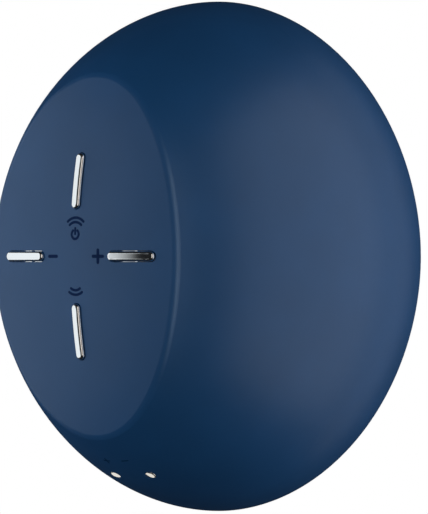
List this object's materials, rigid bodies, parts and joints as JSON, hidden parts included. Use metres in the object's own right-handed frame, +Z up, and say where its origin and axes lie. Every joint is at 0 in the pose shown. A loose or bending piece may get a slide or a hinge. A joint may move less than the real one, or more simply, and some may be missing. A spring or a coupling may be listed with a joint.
{
  "type": "shower speaker",
  "caption": "Egg-shaped waterproof speaker with a shallow domed control face, slim bar buttons, charging contacts and a screw-tightened suction mount.",
  "frame": {"origin": "centre of the suction cup's lip, on the wall plane", "axes": "+Z up, +Y into the wall, so the control face looks toward -Y; +X is the right-hand side of the control face"},
  "size_m": [0.0814, 0.089, 0.11],
  "materials": {
    "skin": "matt",
    "housing": "matt",
    "panel": "satin",
    "seal_rubber": "matt",
    "screw_steel": "satin",
    "mesh_steel": "satin",
    "chrome_bar": "polished",
    "switch_plastic": "matt",
    "contact_metal": "satin",
    "board_green": "satin",
    "chip_black": "matt",
    "shield_metal": "satin",
    "flex_amber": "satin",
    "cell_wrap": "gloss",
    "basket_steel": "satin",
    "magnet_dark": "matt",
    "cone_paper": "matt",
    "coil_copper": "satin",
    "spider_cloth": "matt",
    "lead_wire": "matt",
    "cup_soft": "satin",
    "stud_plastic": "satin"
  },
  "bodies": {
    "case": {"outer_skin": "skin", "front_housing": "housing", "rear_housing": "housing", "housing_seal": "seal_rubber", "case_screws": "screw_steel", "rear_panel": "panel", "grille_mesh": "mesh_steel", "driver_gasket": "seal_rubber", "driver_basket": "basket_steel", "driver_surround": "seal_rubber", "driver_spider": "spider_cloth", "driver_top_plate": "basket_steel", "driver_magnet": "magnet_dark", "driver_yoke": "basket_steel", "driver_terminals": "contact_metal", "driver_screws": "screw_steel", "main_board": "board_green", "main_board_screws": "screw_steel", "amplifier_chip": "chip_black", "radio_module": "shield_metal", "board_capacitors": "chip_black", "battery_cradle": "switch_plastic", "battery_cell": "cell_wrap", "battery_pad": "seal_rubber", "post_retainers": "screw_steel", "button_board": "board_green", "button_board_screws": "screw_steel", "switch_bodies": "switch_plastic", "board_flex": "flex_amber", "button_seals": "seal_rubber", "charge_contacts": "contact_metal", "contact_seals": "seal_rubber", "contact_carrier": "switch_plastic", "contact_magnet": "magnet_dark", "contact_board": "board_green", "speaker_leads": "lead_wire", "battery_leads": "lead_wire", "contact_leads": "lead_wire", "suction_cup": "cup_soft", "pressure_dish": "panel", "ring_retainer": "panel", "retainer_screws": "screw_steel"},
    "cone": {"driver_cone": "cone_paper", "driver_dust_cap": "cone_paper", "coil_former": "coil_copper", "coil_winding": "coil_copper"},
    "mount_nut": {"lock_ring": "panel"},
    "cup_stud": {"cup_stud": "stud_plastic"},
    "power_button": {"power_button_cap": "chrome_bar", "power_switch_plunger": "switch_plastic"},
    "pair_button": {"pair_button_cap": "chrome_bar", "pair_switch_plunger": "switch_plastic"},
    "volume_up_button": {"volume_up_button_cap": "chrome_bar", "volume_up_switch_plunger": "switch_plastic"},
    "volume_down_button": {"volume_down_button_cap": "chrome_bar", "volume_down_switch_plunger": "switch_plastic"}
  },
  "joints": [
    {"name": "power_press", "type": "slide", "parent": "case", "child": "power_button", "axis": [0, 1, 0], "range_m": [0, 0.0004], "stiffness_N_per_m": 400, "springref_m": -0.0008},
    {"name": "pair_press", "type": "slide", "parent": "case", "child": "pair_button", "axis": [0, 1, 0], "range_m": [0, 0.0004], "stiffness_N_per_m": 400, "springref_m": -0.0008},
    {"name": "volume_up_press", "type": "slide", "parent": "case", "child": "volume_up_button", "axis": [0, 1, 0], "range_m": [0, 0.0004], "stiffness_N_per_m": 400, "springref_m": -0.0008},
    {"name": "volume_down_press", "type": "slide", "parent": "case", "child": "volume_down_button", "axis": [0, 1, 0], "range_m": [0, 0.0004], "stiffness_N_per_m": 400, "springref_m": -0.0008},
    {"name": "cone_travel", "type": "slide", "parent": "case", "child": "cone", "axis": [0, 1, 0], "range_m": [-0.0015, 0.0015], "stiffness_N_per_m": 1000, "deforming": ["driver_surround", "driver_spider"]},
    {"name": "ring_turn", "type": "hinge", "parent": "case", "child": "mount_nut", "pos_m": [0, 0, 0], "axis": [0, 1, 0], "range_deg": [0, 360]},
    {"name": "stud_pull", "type": "slide", "parent": "case", "child": "cup_stud", "axis": [0, -1, 0], "range_m": [0, 0.0012], "deforming": ["suction_cup"]}
  ],
  "couplings": [
    {"joint": "stud_pull", "follows": "ring_turn", "m_per_rad": 0.00019099}
  ]
}
